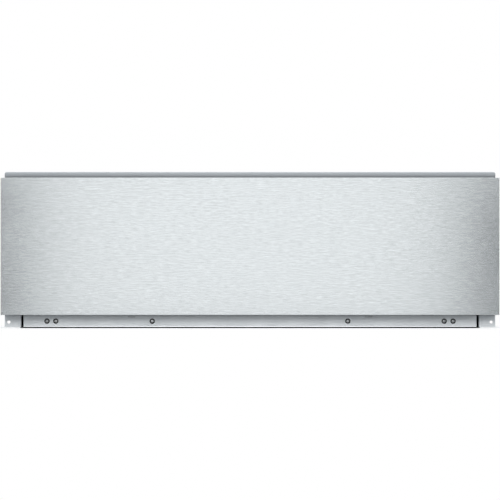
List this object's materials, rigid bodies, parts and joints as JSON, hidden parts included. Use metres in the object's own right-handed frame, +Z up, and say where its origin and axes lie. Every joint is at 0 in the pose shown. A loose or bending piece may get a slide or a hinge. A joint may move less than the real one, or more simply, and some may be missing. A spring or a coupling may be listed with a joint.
{
  "type": "built-in storage drawer",
  "caption": "Handle-less built-in storage drawer with a brushed steel front, a sheet-steel casing with a mounting frame, ball slides and a push latch.",
  "frame": {"origin": "bottom centre of the whole object's box, on the surface that the casing stands on", "axes": "+X along the width, -Y towards the front panel, +Z up"},
  "size_m": [0.7556, 0.575, 0.2367],
  "materials": {
    "brushed_front": "horizontal brushed stainless steel",
    "frame_steel": "plain satin stainless steel",
    "zinc_sheet": "zinc-coated sheet steel with a faint spangle",
    "drawer_sheet": "smooth grey enamelled sheet steel",
    "rail_steel": "bright zinc-plated rolled steel",
    "cage_steel": "thin pressed steel",
    "bearing_steel": "polished ball steel",
    "screw_steel": "zinc-plated screw",
    "buffer_rubber": "matt black rubber",
    "mat_rubber": "soft dark grey liner with a fine ribbed surface",
    "latch_plastic": "moulded light grey plastic",
    "plunger_plastic": "moulded dark plastic",
    "magnet_metal": "nickel-plated magnet",
    "spring_steel": "spring wire"
  },
  "bodies": {
    "casing": {"casing_floor": "zinc_sheet", "casing_left_wall": "zinc_sheet", "casing_right_wall": "zinc_sheet", "casing_roof": "zinc_sheet", "casing_back": "zinc_sheet", "front_frame": "frame_steel", "frame_bumpers": "buffer_rubber", "cross_rail": "zinc_sheet", "base_skirt": "frame_steel", "skirt_screws": "screw_steel", "left_outer_rail": "rail_steel", "right_outer_rail": "rail_steel", "left_rail_buffer": "buffer_rubber", "right_rail_buffer": "buffer_rubber", "casing_rail_screws": "screw_steel", "latch_housing": "latch_plastic", "latch_spring": "spring_steel"},
    "drawer": {"front_skin": "brushed_front", "front_inner_panel": "zinc_sheet", "front_stiffeners": "zinc_sheet", "drawer_front_wall": "drawer_sheet", "drawer_back_wall": "drawer_sheet", "drawer_left_wall": "drawer_sheet", "drawer_right_wall": "drawer_sheet", "drawer_floor": "drawer_sheet", "drawer_mat": "mat_rubber", "left_inner_rail": "rail_steel", "right_inner_rail": "rail_steel", "drawer_rail_screws": "screw_steel", "front_fixing_screws": "screw_steel", "striker_plate": "zinc_sheet"},
    "left_middle_slide": {"left_middle_rail": "rail_steel"},
    "right_middle_slide": {"right_middle_rail": "rail_steel"},
    "left_outer_bearing": {"left_outer_cage": "cage_steel", "left_outer_balls": "bearing_steel"},
    "right_outer_bearing": {"right_outer_cage": "cage_steel", "right_outer_balls": "bearing_steel"},
    "left_inner_bearing": {"left_inner_cage": "cage_steel", "left_inner_balls": "bearing_steel"},
    "right_inner_bearing": {"right_inner_cage": "cage_steel", "right_inner_balls": "bearing_steel"},
    "plunger": {"latch_plunger": "plunger_plastic", "latch_magnet": "magnet_metal"}
  },
  "joints": [
    {"name": "drawer_slide", "type": "slide", "parent": "casing", "child": "drawer", "axis": [0, -1, 0], "range_m": [0, 0.48]},
    {"name": "left_middle_slide_travel", "type": "slide", "parent": "casing", "child": "left_middle_slide", "axis": [0, -1, 0], "range_m": [0, 0.24]},
    {"name": "left_outer_bearing_travel", "type": "slide", "parent": "casing", "child": "left_outer_bearing", "axis": [0, -1, 0], "range_m": [0, 0.12]},
    {"name": "left_inner_bearing_travel", "type": "slide", "parent": "casing", "child": "left_inner_bearing", "axis": [0, -1, 0], "range_m": [0, 0.36]},
    {"name": "right_middle_slide_travel", "type": "slide", "parent": "casing", "child": "right_middle_slide", "axis": [0, -1, 0], "range_m": [0, 0.24]},
    {"name": "right_outer_bearing_travel", "type": "slide", "parent": "casing", "child": "right_outer_bearing", "axis": [0, -1, 0], "range_m": [0, 0.12]},
    {"name": "right_inner_bearing_travel", "type": "slide", "parent": "casing", "child": "right_inner_bearing", "axis": [0, -1, 0], "range_m": [0, 0.36]},
    {"name": "latch_press", "type": "slide", "parent": "casing", "child": "plunger", "axis": [0, 1, 0], "range_m": [0, 0.003], "stiffness_N_per_m": 1500, "springref_m": -0.002, "deforming": ["latch_spring"]}
  ],
  "couplings": [
    {"joint": "left_middle_slide_travel", "follows": "drawer_slide", "ratio": 0.5},
    {"joint": "left_outer_bearing_travel", "follows": "drawer_slide", "ratio": 0.25},
    {"joint": "left_inner_bearing_travel", "follows": "drawer_slide", "ratio": 0.75},
    {"joint": "right_middle_slide_travel", "follows": "drawer_slide", "ratio": 0.5},
    {"joint": "right_outer_bearing_travel", "follows": "drawer_slide", "ratio": 0.25},
    {"joint": "right_inner_bearing_travel", "follows": "drawer_slide", "ratio": 0.75}
  ]
}
